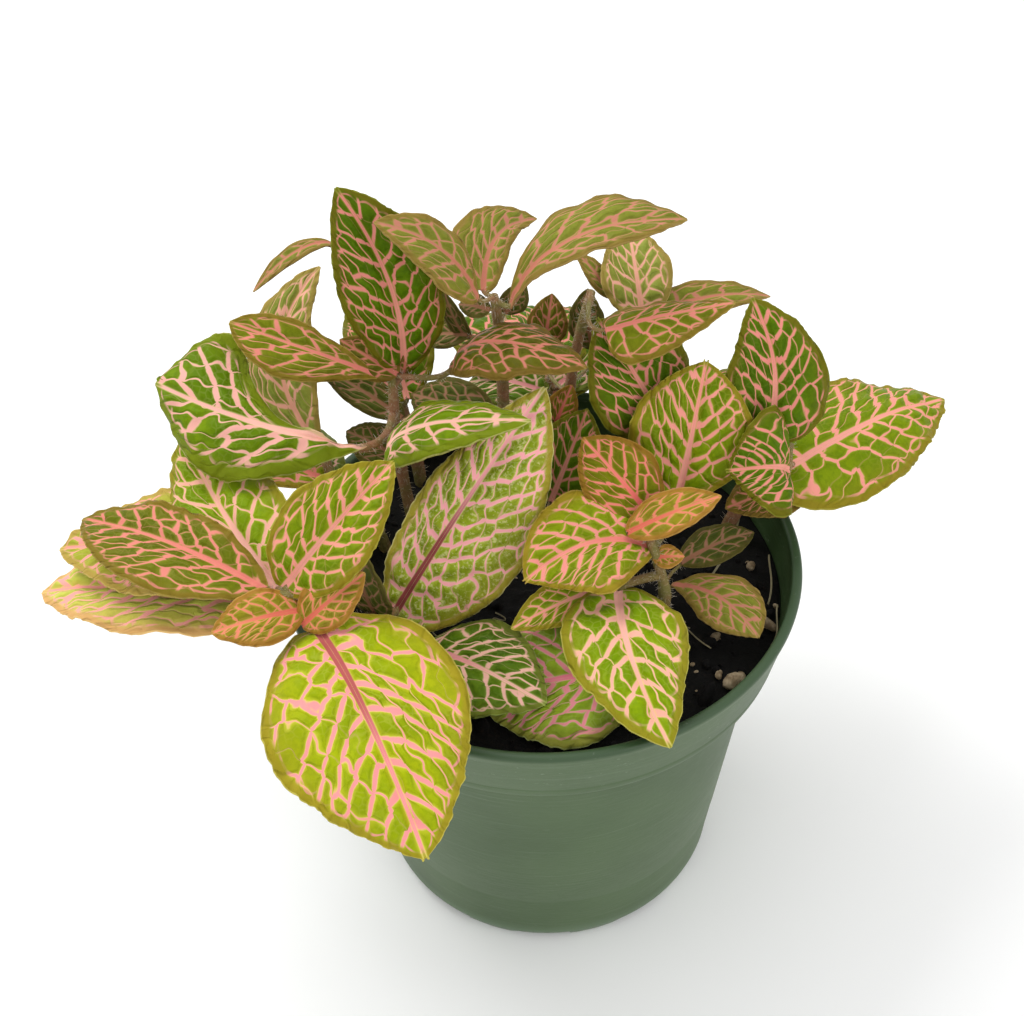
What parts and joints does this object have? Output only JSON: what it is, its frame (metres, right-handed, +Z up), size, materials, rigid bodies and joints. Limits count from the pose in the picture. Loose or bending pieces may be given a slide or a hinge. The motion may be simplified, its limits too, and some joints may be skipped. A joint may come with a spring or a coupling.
{
  "type": "potted nerve plant",
  "caption": "Pink-veined nerve plant: leafy creeping stems spilling over the lip of a round green nursery pot filled with dark soil, standing free on the pot's flat foot.",
  "frame": {"origin": "middle of the pot's underside, where its axis meets the surface it stands on", "axes": "+Z up along the pot's axis, -Y towards the viewer, +X to the viewer's right"},
  "size_m": [0.1902, 0.1461, 0.1602],
  "materials": {
    "pot": "satin moulded green plastic, lightly scuffed",
    "soil": "rough, near-black moist peat with pale perlite crumbs",
    "foliage": "soft satin lime-green leaf with raised cells, sunken pink veins and olive margins; hairy grey-pink stems"
  },
  "bodies": {
    "root": {"pot": "pot", "soil": "soil", "shoot_front_left": "foliage", "shoot_left": "foliage", "shoot_back_left": "foliage", "shoot_top": "foliage", "shoot_front_right": "foliage", "shoot_middle": "foliage", "shoot_right": "foliage", "shoot_top_right": "foliage", "shoot_far_left": "foliage", "shoot_rear": "foliage", "shoot_rear_right": "foliage"}
  },
  "joints": []
}
